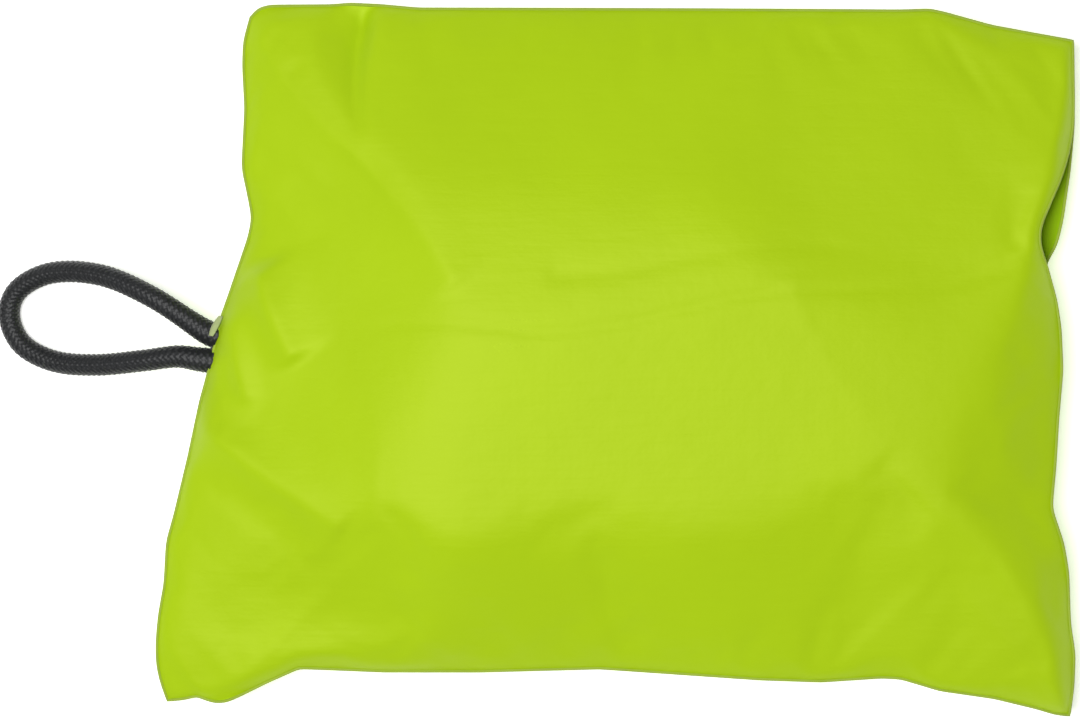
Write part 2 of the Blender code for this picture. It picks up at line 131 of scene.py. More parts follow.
BAND_START, BAND_HEIGHT, BAND_SLOPE = 58.0, 28.6, 0.15
PLATEAU_PLACE = (-90, 13)
PLATEAU_HEIGHT, PLATEAU_TILT_X, PLATEAU_TILT_Y = 37.0, -0.035, 0.06
# Faces meet in a round ridge, which is sharper low down
FACE_ROUNDING, LEAST_ROUNDING, ROUNDING_REACH = 1.4, 0.05, 5.0
SHOULDER_RISE, SHOULDER_REACH = 2.8, 2.2
LEFT_PUFFS = ((-64, 0), (-52, 3.0), (-28, 3.0), (-17, 0.5), (-9, 5.5), (28, 5.5), (44, 0))
PUFF_REACH, PUFF_FADE = 7.0, 4
CORNER_DROOP, DROOP_LIMIT = 9.0, 1.1
HEM_RADIUS, HEM_LIFT, HEM_SIDES = 0.62, 0.42, 8
MOUTH_LIFT, MOUTH_REACH, MOUTH_TAPER = 4.3, 7.0, 3.0
ROOT_LIFT, ROOT_REACH, ROOT_SET_IN = 3.0, 6.0, 5.0
BACK_ROUND = 52.0
BACK_FOLDS, BACK_FOLD_REACH = 0.35, 25
FLOOR_CLEARANCE = 0.4

# --- Cloth simulation of the front, and the rounding after it ---------------------------

SETTLE_STEPS = 16
SETTLE_CAP = 1.2 * MM
SETTLE_LOOSENESS, SETTLE_PRESSURE = 0.0045, 0.4
INNER_HOLD = 0.04
RELAX_PASSES = 3

# --- Folds, in millimetres --------------------------------------------------------------

# Each fold: start, end, the reach to the right of that heading and to its left at both ends,
# and the height at both ends (below 0 for a valley)
FOLDS = (
    ((-97, 138), (-97, 84), (25, 6), (8, 6), (-9.0, 0.0)),
    ((-136, 124), (-62, 28), (12, 16), (12, 18), (1.6, 1.6)),
    ((-137, 34), (-122, 4), (14, 13), (22, 22), (5.2, 3.8)),
    ((-162, -24), (-106, -62), (19, 16), (26, 20), (6.0, 2.4)),
    ((-146, 16), (-141, -12), (8, 8), (12, 12), (3.0, 2.4)),
    ((168, 37), (88, 24), (6, 5), (7, 6), (-1.6, 0.0)),
    ((128, -80), (170, -135), (14, 12), (19, 12), (0.0, 3.2)),
    ((66, 26), (106, -44), (20, 16), (20, 18), (0.7, 0.0)),
    ((170, -58), (124, -46), (10, 16), (12, 16), (-1.6, 0.0)),
    ((-24, 33), (80, 42), (8, 7), (11, 10), (-0.7, -0.3)),
    ((16, 48), (137, 37), (8, 9), (9, 9), (0.0, -0.3)),
    ((-91, 14), (-93, -62), (10, 12), (14, 16), (0.0, 0.6)),
    ((-86, -66), (-146, -121), (14, 12), (20, 16), (0.8, 0.8)),
    ((97, -40), (150, -84), (13, 12), (14, 12), (-0.5, 0.0)),
)
FOLD_CRISPNESS, FOLD_END = 2.0, 6.0
# Folds fade out this near the hem, and their lines wander by this much over these lengths
FOLD_HEM_FADE = 4.0
FOLD_WANDER, WANDER_ALONG_Y, WANDER_ALONG_X = 2.2, 15, 19
CREASE = ((-92, 12), (-30, 11), (54, 22.5), (100, 28.6), (128, 36), (153, 45))
CREASE_DEPTH, CREASE_WIDTH = 0.62, 1.9
CREASE_MIDDLE, CREASE_HALF_LENGTH, CREASE_FADE = 30, 115, 5
SWELLS = (((119, -60), 18, 1.0), ((100, 75), 34, 1.6))
# The dog-ear: the corner beyond this line is folded under and lies flat
EAR_LINE = ((-176.5, -106.0), (-159.0, -128.5))
EAR_EDGE, EAR_SLOPE, EAR_THICKNESS = 0.5, 0.12, 0.9
EAR_LIMIT = 20

# --- Turned edges in the zip's mouth ----------------------------------------------------

LIP_PAST_MOUTH = 5 * MM
LIP_ROWS = 6
LIP_TO_TAPE = 0.6 * MM
LIP_STAND_OFF = 4.2 * MM
LIP_BOW = 0.3 * MM

# --- Cord loop, in metres ---------------------------------------------------------------
# The route goes from the upper root to the lower one, measured across and along from the
# middle of the roots, and up from the floor. It is the CAD cord's, with the far end drawn
# out by up to 3 mm.

CORD_DIAMETER = 0.008
LOOP_ROOT_SPACING = 0.0105
LOOP_ROUTE = (
    (-0.0180, 0.0185, 0.0315),
    (-0.0375, 0.0268, 0.0225),
    (-0.0568, 0.0280, 0.0125),
    (-0.0703, 0.0218, 0.0065),
    (-0.0742, 0.0117, 0.0047),
    (-0.0692, 0.0005, 0.0060),
    (-0.0565, -0.0060, 0.0105),
    (-0.0400, -0.0074, 0.0185),
    (-0.0220, -0.0058, 0.0275),
    (-0.0088, -0.0042, 0.0318),
)
CORD_BURY = 0.007
ROOT_SPLAY = 0.0012
STRANDS = 10
STRAND_ROUNDNESS = 0.7
BRAID_LEAD = 0.022
BRAID_DEPTH = 0.00030
FLARE, FLARE_REACH = 0.0007, 0.011
CORD_SIDES = 60
CORD_RING_STEP = 0.0005
CURVE_STEPS = 60

# The tab's folded edge: its two ends from the upper root, and how the strip curls
TAB_LIP_TOP = (0.0081, 0.0058, 0.0036)
TAB_LIP_TIP = (0.0044, -0.0016, 0.0046)
TAB_LIP_WIDTH = 0.0015
TAB_LIP_THICKNESS = 0.0004
TAB_LIP_ROWS, TAB_LIP_COLUMNS = 25, 11
TAB_LIP_CURL = (-0.5, 2.3)
TAB_LIP_FLATNESS = 0.7
TAB_LIP_END = 0.08

# --- Inner bag, filling and tapes -------------------------------------------------------

INNER_FROM_ZIP = 4 * MM
INNER_HEIGHT = 0.9
INNER_GRID_STEP = 4
STUFFING_SCALE = (0.97, 0.97, 0.95)

TAPE_ROWS, TAPE_COLUMNS = 120, 12
TAPE_LEAST = 1 * MM
TAPE_UNDER_PANEL = 1.6 * MM
TAPE_SEARCH = 4 * MM
TAPE_SEARCH_INWARD = 1.5 * MM
TAPE_HALF_THICKNESS = 0.25 * MM
TAPE_RIB_DEPTH, TAPE_RIB_LENGTH = 0.03 * MM, 0.25 * MM

# --- Camera straight above, its view 411.5 mm wide, and the light -----------------------

CAMERA_DISTANCE = 3.0
FRAME_WIDTH = 0.4115
FRAME_SHIFT = -0.0295
SENSOR = 36.0
CLIP_END = 20
FLOOR_GLOW = 0.55
FLOOR_HALF_SIZE = 4.0
WORLD_GLOW = 0.10
KEY_PLACE, KEY_TARGET = (-0.66, -0.05, 4.0), (0, 0, 0.03)
KEY_SIZE, KEY_POWER = 1.2, 150.0


# --- Curves and grids ------------------------------------------------------------------

def distance_travelled(points):
    """How far along a line of points each of them lies."""
    return np.concatenate(([0], np.cumsum(np.linalg.norm(np.diff(points, axis=0), axis=1))))


def points_at(wanted, travelled, points):
    """The places on a line of points at the wanted distances along it."""
    axes = range(points.shape[1])
    return np.stack([np.interp(wanted, travelled, points[:, axis]) for axis in axes], axis=1)


def smooth_edge(points, count, rounding):
    """An even run of points along an edge, its bends eased over a few millimetres."""
    points = np.array(points, float)
    travelled = distance_travelled(points)
    step = 0.25
    fine = points_at(np.linspace(0, travelled[-1], int(travelled[-1] / step)), travelled, points)
    reach = int(3 * rounding / step)
    kernel = np.exp(-0.5 * (np.arange(-reach, reach + 1) * step / rounding) ** 2)
    kernel /= kernel.sum()
    before = 2 * fine[0] - fine[reach:0:-1]
    after = 2 * fine[-1] - fine[-2:-reach - 2:-1]
    padded = np.concatenate((before, fine, after))
    rounded = np.stack([np.convolve(padded[:, axis], kernel, "valid") for axis in range(2)], axis=1)
    travelled = distance_travelled(rounded)
    return points_at(np.linspace(0, travelled[-1], count), travelled, rounded)


def patch(bottom, top, left, right):
    """A grid stretched between four edges; rows run from bottom to top."""
    u = np.linspace(0, 1, len(bottom))[None, :, None]
    v = np.linspace(0, 1, len(left))[:, None, None]
    across = (1 - v) * bottom[None] + v * top[None]
    upward = (1 - u) * left[:, None] + u * right[:, None]
    corners = ((1 - u) * (1 - v) * bottom[0] + u * (1 - v) * bottom[-1]
               + (1 - u) * v * top[0] + u * v * top[-1])
    return across + upward - corners


def distance_to(points, line):
    """Distance of each point from a run of closely spaced points."""
    flat = points.reshape(-1, 2)
    result = np.empty(len(flat))
    at_once = 4000
    for start in range(0, len(flat), at_once):
        block = flat[start:start + at_once]
        squares = ((block[:, None] - line[None]) ** 2).sum(axis=2)
        result[start:start + at_once] = np.sqrt(squares.min(axis=1))
    return result.reshape(points.shape[:-1])


def along_line(points, start, end):
    """Share of the way along a straight line, and distance to its right, for each point."""
    start = np.array(start, float)
    line = np.array(end, float) - start
    offset = points - start
    share = (offset @ line) / (line @ line)
    side = (offset[..., 0] * line[1] - offset[..., 1] * line[0]) / np.linalg.norm(line)
    return share, side


def grid_faces(rows, columns, flip=False):
    """Four-sided faces over a grid of points that was written row by row."""
    faces = []
    for row in range(rows - 1):
        for column in range(columns - 1):
            a = row * columns + column
            face = (a, a + 1, a + columns + 1, a + columns)
            faces.append(tuple(reversed(face)) if flip else face)
    return faces


def add_mesh(name, points, faces, material, smooth=True):
    """A new object in the scene, from points in metres."""
    mesh = bpy.data.meshes.new(name)
    mesh.from_pydata([tuple(p) for p in np.asarray(points).reshape(-1, 3)], [], faces)
    mesh.update()
    if smooth:
        mesh.shade_smooth()
    item = bpy.data.objects.new(name, mesh)
    bpy.context.scene.collection.objects.link(item)
    if material:
        mesh.materials.append(material)
    return item


def tube(name, path, radius, sides, material, closed=False, profile=None):
    """A round tube along a path; profile(ring, angle) may add to its radius."""
    path = np.asarray(path, float)
    if closed:
        tangents = np.roll(path, -1, axis=0) - np.roll(path, 1, axis=0)
    else:
        tangents = np.gradient(path, axis=0)
    tangents /= np.linalg.norm(tangents, axis=1)[:, None]
    normal = np.cross(tangents[0], (0.0, 0.0, 1.0))
    if np.linalg.norm(normal) < 0.1:
        normal = np.cross(tangents[0], (0.0, 1.0, 0.0))
    normal /= np.linalg.norm(normal)
    angles = np.arange(sides) * 2 * math.pi / sides
    rings = []
    for index, (point, tangent) in enumerate(zip(path, tangents)):
        normal = normal - tangent * (normal @ tangent)
        normal /= np.linalg.norm(normal)
        binormal = np.cross(tangent, normal)
        reach = radius + (profile(index, angles) if profile else 0.0)
        reach = np.broadcast_to(reach, angles.shape)
        rings.append(point + reach[:, None] * (np.cos(angles)[:, None] * normal
                                               + np.sin(angles)[:, None] * binormal))
    count = len(path)
    faces = []
    for ring in range(count if closed else count - 1):
        for side in range(sides):
            a = ring * sides + side
            b = ring * sides + (side + 1) % sides
            c = ((ring + 1) % count) * sides + (side + 1) % sides
            d = ((ring + 1) % count) * sides + side
            faces.append((a, b, c, d))
    if not closed:
        faces.append(tuple(reversed(range(sides))))
        faces.append(tuple(range((count - 1) * sides, count * sides)))
    return add_mesh(name, np.concatenate(rings), faces, material)


# --- Materials -------------------------------------------------------------------------

# A wave texture of scale 1 turns this many radians in each metre
WAVE_RATE = 20.0
# The stretch, scale and height in metres of each kind of unevenness in the coated cloth
CRINKLES = (((1.0, 1.0, 1.0), 95.0, 0.00035), ((0.25, 2.2, 1.0), 160.0, 0.00016))
CRINKLE_STRENGTH = 0.7


def new_material(name, colour, roughness, **values):
    """A material and its shader; further sockets are named with _ for each space."""
    material = bpy.data.materials.new(name)
    material.use_nodes = True
    shader = material.node_tree.nodes["Principled BSDF"]
    shader.inputs["Base Color"].default_value = (*colour, 1.0)
    shader.inputs["Roughness"].default_value = roughness
    for socket, value in values.items():
        shader.inputs[socket.replace("_", " ")].default_value = value
    return material, shader


def add_noise(tree, vector, scale, detail):
    """Noise that lies still on the object; returns its output."""
    noise = tree.nodes.new("ShaderNodeTexNoise")
    noise.inputs["Scale"].default_value = scale
    noise.inputs["Detail"].default_value = detail
    tree.links.new(vector, noise.inputs["Vector"])
    return noise.outputs["Fac"]


def add_bump(tree, height, strength, distance):
    """A bump node fed by a height."""
    bump = tree.nodes.new("ShaderNodeBump")
    bump.inputs["Strength"].default_value = strength
    bump.inputs["Distance"].default_value = distance
    tree.links.new(height, bump.inputs["Height"])
    return bump


def vary_colour(shader, colour, scale, amount):
    """Cloudy lighter and darker areas in the dye; returns the object's coordinates."""
    tree = shader.id_data
    place = tree.nodes.new("ShaderNodeTexCoord").outputs["Object"]
    clouds = add_noise(tree, place, scale, detail=3.0)
    ramp = tree.nodes.new("ShaderNodeValToRGB")
    darkest, palest = ramp.color_ramp.elements
    darkest.position = 0.3
    palest.position = 0.7
    darkest.color = (*(c * (1 - amount) for c in colour), 1.0)
    palest.color = (*(min(1.0, c * (1 + amount)) for c in colour), 1.0)
    tree.links.new(clouds, ramp.inputs["Fac"])
    tree.links.new(ramp.outputs["Color"], shader.inputs["Base Color"])
    return place


def weave_bump(shader, place, spacing, strength, distance):
    """Two sets of low ridges at right angles, this many metres apart; returns the bump."""
    tree = shader.id_data
    heights = []
    for direction in ("X", "Y"):
        wave = tree.nodes.new("ShaderNodeTexWave")
        wave.wave_type = "BANDS"
        wave.bands_direction = direction
        wave.inputs["Scale"].default_value = 2 * math.pi / WAVE_RATE / spacing
        wave.inputs["Distortion"].default_value = 0.6
        wave.inputs["Detail"].default_value = 1.0
        tree.links.new(place, wave.inputs["Vector"])
        heights.append(wave.outputs["Fac"])
    threads = tree.nodes.new("ShaderNodeMath")
    threads.operation = "MAXIMUM"
    for height, socket in zip(heights, threads.inputs):
        tree.links.new(height, socket)
    bump = add_bump(tree, threads.outputs["Value"], strength, distance)
    tree.links.new(bump.outputs["Normal"], shader.inputs["Normal"])
    return bump


def crinkle(shader, place, weave):
    """The faint unevenness of coated cloth, under the weave: small dents, and slack threads."""
    tree = shader.id_data
    earlier = None
    for stretch, scale, distance in CRINKLES:
        shape = tree.nodes.new("ShaderNodeMapping")
        shape.inputs["Scale"].default_value = stretch
        tree.links.new(place, shape.inputs["Vector"])
        height = add_noise(tree, shape.outputs["Vector"], scale, detail=3.0)
        dents = add_bump(tree, height, CRINKLE_STRENGTH, distance)
        if earlier:
            tree.links.new(earlier.outputs["Normal"], dents.inputs["Normal"])
        earlier = dents
    tree.links.new(earlier.outputs["Normal"], weave.inputs["Normal"])


def coated_nylon():
    """The cover's outside: smooth lime cloth with a soft, yellow-green gloss."""
    colour = (0.414, 0.630, 0.003)
    material, shader = new_material(
        "coated_nylon", colour, 0.58, Specular_IOR_Level=0.66, Sheen_Weight=0.05, Sheen_Roughness=0.4,
        Specular_Tint=(1.0, 0.98, 0.26, 1.0),
    )
    place = vary_colour(shader, colour, scale=22.0, amount=0.018)
    weave = weave_bump(shader, place, spacing=0.002856, strength=0.10, distance=0.00006)
    crinkle(shader, place, weave)
    return material


def woven(name, colour, roughness, clouds, weave, **values):
    """Plain cloth: clouds are the scale and amount in its dye, and weave the ridges'
    spacing, strength and height."""
    material, shader = new_material(name, colour, roughness, **values)
    place = vary_colour(shader, colour, *clouds)
    weave_bump(shader, place, *weave)
    return material


# The hem's cloth is darker and greyer than the cover's: painted shade along the seam.
def hem_nylon():
    return woven(
        "hem_nylon", (0.34, 0.46, 0.045), 0.6, clouds=(60.0, 0.05), weave=(0.002856, 0.25, 0.00008),
        Specular_IOR_Level=0.2,
    )


def lip_nylon():
    """The turned edges inside the mouth, deep green: painted shade of the mouth, and painted light through
    the cloth.
    """
    return woven(
        "lip_nylon", (0.27, 0.46, 0.002), 0.7, clouds=(60.0, 0.05), weave=(0.002856, 0.25, 0.00008),
        Specular_IOR_Level=0.1,
    )


def inside_nylon():
    """The uncoated inner side of the cloth, paler and duller than the outside."""
    return woven(
        "inside_nylon", (0.40, 0.47, 0.20), 0.8, clouds=(300.0, 0.08), weave=(0.002856, 0.3, 0.0001),
        Sheen_Weight=0.3,
    )


def ticking():
    """The inner bag's white cotton."""
    return woven(
        "ticking", (0.78, 0.78, 0.75), 0.9, clouds=(30.0, 0.03), weave=(0.003927, 0.3, 0.0001),
        Sheen_Weight=0.2,
    )


def tape_cloth():
    return woven(
        "zip_tape", (0.34, 0.50, 0.012), 0.85, clouds=(80.0, 0.06), weave=(0.004488, 0.5, 0.0002),
        Sheen_Weight=0.2,
    )


def label_satin():
    return woven(
        "label_satin", (0.84, 0.84, 0.83), 0.5, clouds=(200.0, 0.02), weave=(0.002513, 0.3, 0.0001),
        Sheen_Weight=0.3,
    )


def clouded(name, colour, roughness, clouds, **values):
    """A moulded or cast surface: clouds are the scale and amount in its colour."""
    material, shader = new_material(name, colour, roughness, **values)
    vary_colour(shader, colour, *clouds)
    return material


def braided_cord():
    """Black cord: the strands are in its mesh, and this adds their fibres."""
    colour = (0.0095, 0.0106, 0.0118)
    material, shader = new_material(
        "braided_cord", colour, 0.5, Sheen_Weight=0.24, Sheen_Roughness=0.4,
    )
    place = vary_colour(shader, colour, scale=400.0, amount=0.25)
    tree = shader.id_data
    fibres = add_noise(tree, place, scale=5200.0, detail=2.0)
    bump = add_bump(tree, fibres, strength=0.5, distance=0.00012)
    tree.links.new(bump.outputs["Normal"], shader.inputs["Normal"])
    return material


# --- Shape of the cover ----------------------------------------------------------------

def seam_height(points):
    """Height of the seam plane, in millimetres: it droops towards the corners."""
    x = np.minimum(np.abs(points[..., 0]) / HALF_LENGTH, DROOP_LIMIT)
    y = np.minimum(np.abs(points[..., 1]) / HALF_WIDTH, DROOP_LIMIT)
    return SEAM_Z / MM - CORNER_DROOP * x**4 * y**4


def opening_lift(points, to_right):
    """How far each panel stands off the seam plane, at the zip's mouth and round the cord."""
    past_end = np.abs(points[..., 1]) - MOUTH_END / MM
    inside = 1 / (1 + np.exp(past_end / MOUTH_TAPER))
    lift = MOUTH_LIFT * inside * np.exp(-to_right / MOUTH_REACH)
    for side in (-1, 1):
        root = (LOOP_PIVOT + side * LOOP_ALONG * LOOP_ROOT_SPACING / 2)[:2] / MM
        root = root + LOOP_INWARD[:2] * ROOT_SET_IN
        gap = ((points - root) ** 2).sum(axis=-1)
        lift = np.maximum(lift, ROOT_LIFT * np.exp(-gap / ROOT_REACH**2))
    return lift


def eased(table, at):
    """Values between a table's pairs, with its bends rounded off."""
    places = np.arange(-EASE_SPAN, EASE_SPAN)
    values = np.interp(places, *zip(*table))
    kernel = np.exp(-0.5 * (np.arange(-EASE_REACH, EASE_REACH + 1) / SLOPE_EASE) ** 2)
    values = np.convolve(np.pad(values, EASE_REACH, "edge"), kernel / kernel.sum(), "valid")
    return np.interp(at, places, values)


def between(ends, share):
    """Values that go evenly from the first end's to the second's."""
    return ends[0] + (ends[1] - ends[0]) * share


def fold_height(points):
    """Height that the folds add; their lines wander a little, as cloth does."""
    sway_x = np.sin(points[..., 1] / WANDER_ALONG_Y + 1.0)
    sway_y = np.sin(points[..., 0] / WANDER_ALONG_X + 2.0)
    points = points + FOLD_WANDER * np.stack((sway_x, sway_y), axis=-1)
    total = np.zeros(points.shape[:-1])
    for start, end, right_reach, left_reach, heights in FOLDS:
        share, side = along_line(points, start, end)
        along = np.clip(share, 0, 1)
        reach = np.where(side > 0, between(right_reach, along), between(left_reach, along))
        past = np.maximum(np.maximum(share - 1, -share), 0) * math.dist(start, end)
        nearness = np.clip(1 - np.hypot(side / reach, past / FOLD_END), 0, 1)
        total += between(heights, along) * nearness**FOLD_CRISPNESS
    for (x, y), reach, height in SWELLS:
        gap = (points[..., 0] - x) ** 2 + (points[..., 1] - y) ** 2
        total += height * np.exp(-gap / reach**2)
    from_crease = points[..., 1] - np.interp(points[..., 0], *zip(*CREASE))
    past_end = np.abs(points[..., 0] - CREASE_MIDDLE) - CREASE_HALF_LENGTH
    inside = 1 / (1 + np.exp(past_end / CREASE_FADE))
    return total - CREASE_DEPTH * np.exp(-((from_crease / CREASE_WIDTH) ** 2)) * inside


def face_height(x, y, broad):
    """The lowest of the front's faces at each place, with round ridges where two meet."""
    to_bottom, to_top, to_left, to_right = broad
    faces = np.stack((
        eased(TOP_SLOPES, x) * to_top,
        eased(LEFT_SLOPES, y) * to_left,
        eased(BOTTOM_SLOPES, x) * to_bottom,
        RIGHT_RISE * np.tanh(to_right / eased(RIGHT_REACHES, y)) + RIGHT_TILT * to_right,
        BAND_HEIGHT + BAND_SLOPE * (BAND_START - y),
        SHELF_HEIGHT + SHELF_SLOPE * (x - SHELF_START),
        PLATEAU_HEIGHT + PLATEAU_TILT_X * (x - PLATEAU_PLACE[0]) + PLATEAU_TILT_Y * (y - PLATEAU_PLACE[1]),
    ))
    lowest = faces.min(axis=0)
    rounding = FACE_ROUNDING * (1 - np.exp(-lowest / ROUNDING_REACH)) + LEAST_ROUNDING
    return lowest - rounding * np.log(np.exp(-(faces - lowest) / rounding).sum(axis=0))


def front_height(points, distances, broad):
    """Height of the front above the seam plane, in millimetres."""
    x = points[..., 0]
    y = points[..., 1]
    nearest = np.minimum.reduce(distances)
    shoulder = SHOULDER_RISE * (1 - np.exp(-nearest / SHOULDER_REACH))
    height = np.maximum(face_height(x, y, broad), 0) + shoulder
    to_edge = distances[2] / PUFF_REACH
    height += eased(LEFT_PUFFS, y) * (1 - np.exp(-to_edge)) * np.exp(-((to_edge / PUFF_FADE) ** 2))
    height += fold_height(points) * (1 - np.exp(-nearest / FOLD_HEM_FADE))
    _, beyond = along_line(points, *EAR_LINE)
    ear = 1 / (1 + np.exp(-np.clip(beyond, -EAR_LIMIT, EAR_LIMIT) / EAR_EDGE))
    folded = np.minimum(height, EAR_SLOPE * distances[2] + EAR_THICKNESS)
    return height * (1 - ear) + ear * folded


def back_depth(nearest):
    """Depth of the back below the seam plane: round sides and a level middle."""
    share = np.clip(nearest / BACK_ROUND, 0, 1)
    return SEAM_Z / MM * np.sqrt(1 - (1 - share) ** 2)


def panel_grid(right_edge):
    """A panel's grid, each point's distance from its four edges, and from broadly eased ones."""
    edges = (BOTTOM_EDGE, TOP_EDGE, LEFT_EDGE, right_edge)
    counts = (GRID_COLUMNS, GRID_COLUMNS, GRID_ROWS, GRID_ROWS)
    points = patch(*(smooth_edge(*edge) for edge in zip(edges, counts, EDGE_ROUNDINGS)))
    distances = [distance_to(points, smooth_edge(*edge))
                 for edge in zip(edges, EDGE_SAMPLES, EDGE_ROUNDINGS)]
    for index, border in enumerate((np.s_[0, :], np.s_[-1, :], np.s_[:, 0], np.s_[:, -1])):
        distances[index][border] = 0.0
    broad = [distance_to(points, smooth_edge(edge, BROAD_SAMPLES, BROAD_ROUNDING))
             for edge in (BOTTOM_EDGE, TOP_EDGE, LEFT_EDGE, RIGHT_EDGE)]
    return points, distances, broad


def outline_of(grid):
    """The border of a grid of points, once round."""
    return np.concatenate((grid[0, :-1], grid[:-1, -1], grid[-1, :0:-1], grid[:0:-1, 0]))


def closed_faces(rows, columns):
    """Faces of a closed form: one grid over another, and the wall between their borders."""
    first = rows * columns
    upper = grid_faces(rows, columns)
    faces = upper + [tuple(first + index for index in reversed(face)) for face in upper]
    border = [int(index) for index in outline_of(np.arange(first).reshape(rows, columns))]
    faces += [(first + a, first + b, b, a) for a, b in zip(border, border[1:] + border[:1])]
    return faces


def relax(grid, passes):
    """Rounds sharp folds to the radius that coated cloth bends to; the border stays."""
    for _ in range(passes):
        middle = grid[1:-1, 1:-1]
        around = (grid[:-2, 1:-1] + grid[2:, 1:-1] + grid[1:-1, :-2] + grid[1:-1, 2:]) / 4
        grid[1:-1, 1:-1] = (middle + around) / 2
    return grid


def finer(coarse):
    """Doubles a grid along its first axis, each new row on a smooth curve through its neighbours."""
    padded = np.concatenate((2 * coarse[:1] - coarse[1:2], coarse, 2 * coarse[-1:] - coarse[-2:-1]))
    fine = np.empty((2 * len(coarse) - 1, *coarse.shape[1:]))
    fine[::2] = coarse
    fine[1::2] = (9 * (padded[1:-2] + padded[2:-1]) - padded[:-3] - padded[3:]) / 16
    return fine


def settle(grid, looseness, pressure):
    """A short cloth simulation: the panel, cut a little loose, finds wrinkles of its own."""
    coarse = grid[::2, ::2]
    rows, columns = coarse.shape[:2]
    cloth = add_mesh("settling_cloth", coarse, grid_faces(rows, columns), None)
    held = cloth.vertex_groups.new(name="held")
    for row in range(rows):
        for column in range(columns):
            to_border = min(row, column, rows - 1 - row, columns - 1 - column)
            held.add([row * columns + column], 1.0 if to_border == 0 else INNER_HOLD, "REPLACE")
    settings = cloth.modifiers.new("cloth", "CLOTH").settings
    settings.quality = 6
    settings.mass = 0.08
    settings.tension_stiffness = 20
    settings.compression_stiffness = 20
    settings.shear_stiffness = 10
    settings.bending_stiffness = 0.1
    settings.shrink_min = -looseness
    settings.use_pressure = True
    settings.uniform_pressure_force = pressure
    settings.vertex_group_mass = "held"
    settings.pin_stiffness = 1.0
    settings.effector_weights.gravity = 0
    scene = bpy.context.scene
    for step in range(1, SETTLE_STEPS + 1):
        scene.frame_set(step)
    result = cloth.evaluated_get(bpy.context.evaluated_depsgraph_get()).to_mesh()
    moved = np.empty(rows * columns * 3)
    result.vertices.foreach_get("co", moved)
    scene.frame_set(1)
    bpy.data.objects.remove(cloth)
    shift = moved.reshape(rows, columns, 3) - coarse
    reach = np.linalg.norm(shift, axis=2, keepdims=True)
    shift *= SETTLE_CAP * np.tanh(reach / SETTLE_CAP) / np.maximum(reach, 1e-9)
    return grid + finer(finer(shift).transpose(1, 0, 2)).transpose(1, 0, 2)


def add_panel(name, grid, material, hem, flip=False):
    """One panel of the cover, and the round hem along its outline."""
    panel = add_mesh(f"{name}_cover", grid, grid_faces(*grid.shape[:2], flip=flip), material)
    tube(f"{name}_hem", outline_of(grid), HEM_RADIUS * MM, HEM_SIDES, hem, closed=True)
    return panel


def build_front(material, hem):
    points, distances, broad = panel_grid(FRONT_RIGHT_EDGE)
    z = seam_height(points) + HEM_LIFT + opening_lift(points, distances[3])
    z = z + front_height(points, distances, broad)
    grid = np.concatenate((points, z[..., None]), axis=2) * MM
    grid = relax(settle(grid, SETTLE_LOOSENESS, SETTLE_PRESSURE), RELAX_PASSES)
    return add_panel("front", grid, material, hem), grid


def build_back(material, hem):
    points, distances, _ = panel_grid(RIGHT_EDGE)
    nearest = np.minimum.reduce(distances)
    z = seam_height(points) - HEM_LIFT - opening_lift(points, distances[3]) - back_depth(nearest)
    near_hem = 1 - np.exp(-nearest / FOLD_HEM_FADE)
    z = z - BACK_FOLDS * fold_height(points) * np.exp(-nearest / BACK_FOLD_REACH) * near_hem
    z = np.maximum(z, FLOOR_CLEARANCE)
    grid = np.concatenate((points, z[..., None]), axis=2) * MM
    return add_panel("back", grid, material, hem, flip=True), grid


def build_mouth_lips(front_grid, back_grid, material):
    """The panels' turned edges, running in from the mouth to the zip's tapes."""
    for name, grid, side in (("front_lip", front_grid, 1), ("back_lip", back_grid, -1)):
        edge = grid[:, -1]
        edge = edge[np.abs(edge[:, 1]) < MOUTH_END + LIP_PAST_MOUTH]
        inner = edge.copy()
        inner[:, 0] = ZIP_X + LIP_TO_TAPE
        inner[:, 2] = SEAM_Z + side * LIP_STAND_OFF
        rows = []
        for share in np.linspace(0, 1, LIP_ROWS):
            row = edge * (1 - share) + inner * share
            row[:, 2] -= side * LIP_BOW * math.sin(math.pi * share)
            rows.append(row)
        strip = np.stack(rows)
        item = add_mesh(name, strip, grid_faces(*strip.shape[:2], flip=side < 0), material)
        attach(item, "pillow")


# --- Cord loop -------------------------------------------------------------------------

def smooth_route(knots, spacing):
    """Points on a smooth curve (Catmull-Rom) through the knots, near one spacing apart."""
    knots = [2 * knots[0] - knots[1]] + list(knots) + [2 * knots[-1] - knots[-2]]
    fine = []
    for a, b, c, d in zip(knots, knots[1:], knots[2:], knots[3:]):
        for t in np.linspace(0, 1, CURVE_STEPS, endpoint=False):
            fine.append(0.5 * (2 * b + (c - a) * t + (2 * a - 5 * b + 4 * c - d) * t**2
                               + (3 * b - a - 3 * c + d) * t**3))
    fine.append(knots[-2])
    fine = np.array(fine)
    travelled = distance_travelled(fine)
    count = int(round(travelled[-1] / spacing)) + 1
    return points_at(np.linspace(0, travelled[-1], count), travelled, fine)


def braid(ring, angles, spacing, count):
    """Radius added by a plain braid: strands of both hands pass over and under each other.
    The cord also widens a little where it enters the seam."""
    turn = angles / (2 * math.pi) * STRANDS
    run = ring * spacing / BRAID_LEAD * STRANDS
    right = turn + run
    left = turn - run
    across_right = np.cos(math.pi * (right - np.floor(right) - 0.5))
    across_left = np.cos(math.pi * (left - np.floor(left) - 0.5))
    right_on_top = (np.floor(right) + np.floor(left)) % 2 < 1
    top = np.where(right_on_top, across_right, across_left)
    crest = np.where(right_on_top, across_left, across_right)
    height = BRAID_DEPTH * (top**STRAND_ROUNDNESS * (1 + crest) - 1)
    from_end = min(ring, count - 1 - ring) * spacing
    flare = FLARE * math.exp(-((from_end / FLARE_REACH) ** 2))
    return height + flare


